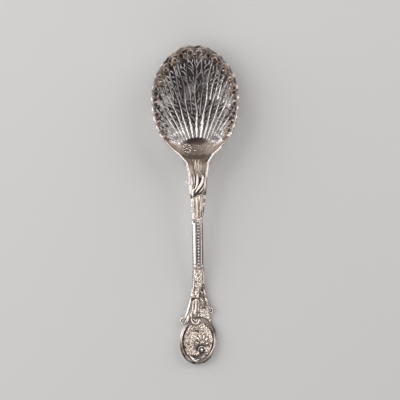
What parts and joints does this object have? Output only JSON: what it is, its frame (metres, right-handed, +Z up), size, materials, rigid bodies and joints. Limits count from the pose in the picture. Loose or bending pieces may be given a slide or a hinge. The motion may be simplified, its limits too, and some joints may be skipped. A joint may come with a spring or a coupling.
{
  "type": "silver spoon",
  "caption": "Antique silver sifter spoon with a pierced, lobed shell bowl and an arched handle of scrolls and leafwork ending in an oval relief cartouche.",
  "frame": {"origin": "middle of the bounding box, on the surface that the spoon lies on", "axes": "+Y along the spoon towards the bowl's tip, +Z up out of the bowl's mouth, +X to the right seen from above with the bowl's tip ahead"},
  "size_m": [0.0585, 0.2099, 0.0199],
  "materials": {
    "bright_silver": null,
    "bowl_silver": "polished silver with darker tarnish towards the tip and round the piercing",
    "toned_silver": "antique silver, bright on its high places with warm brown-grey tarnish in its recesses"
  },
  "bodies": {
    "root": {"bowl_pierced_shell": "bowl_silver", "bowl_rim_wire": "bright_silver", "heel_rosette": "toned_silver", "heel_leaf": "toned_silver", "heel_bead": "bright_silver", "handle_core": "toned_silver", "shoulder_rail_left": "bright_silver", "shoulder_rail_right": "bright_silver", "neck_leaf": "toned_silver", "neck_nubs": "bright_silver", "neck_scroll_upper": "bright_silver", "neck_scroll_lower": "bright_silver", "leaf_sheath": "toned_silver", "stem_moulding_left": "bright_silver", "stem_moulding_right": "bright_silver", "stem_bead_wire": "bright_silver", "flower_drop": "toned_silver", "leaf_cluster": "toned_silver", "acanthus_leaf": "toned_silver", "wing_scroll_left": "bright_silver", "wing_scroll_right": "bright_silver", "cartouche_plate": "toned_silver", "cartouche_frame_left": "bright_silver", "cartouche_frame_right": "bright_silver", "cartouche_crest": "toned_silver", "cartouche_shell": "toned_silver", "cartouche_pearl": "bright_silver", "cartouche_foliage_left": "toned_silver", "cartouche_foliage_right": "toned_silver", "cartouche_bottom_scroll": "bright_silver"}
  },
  "joints": []
}
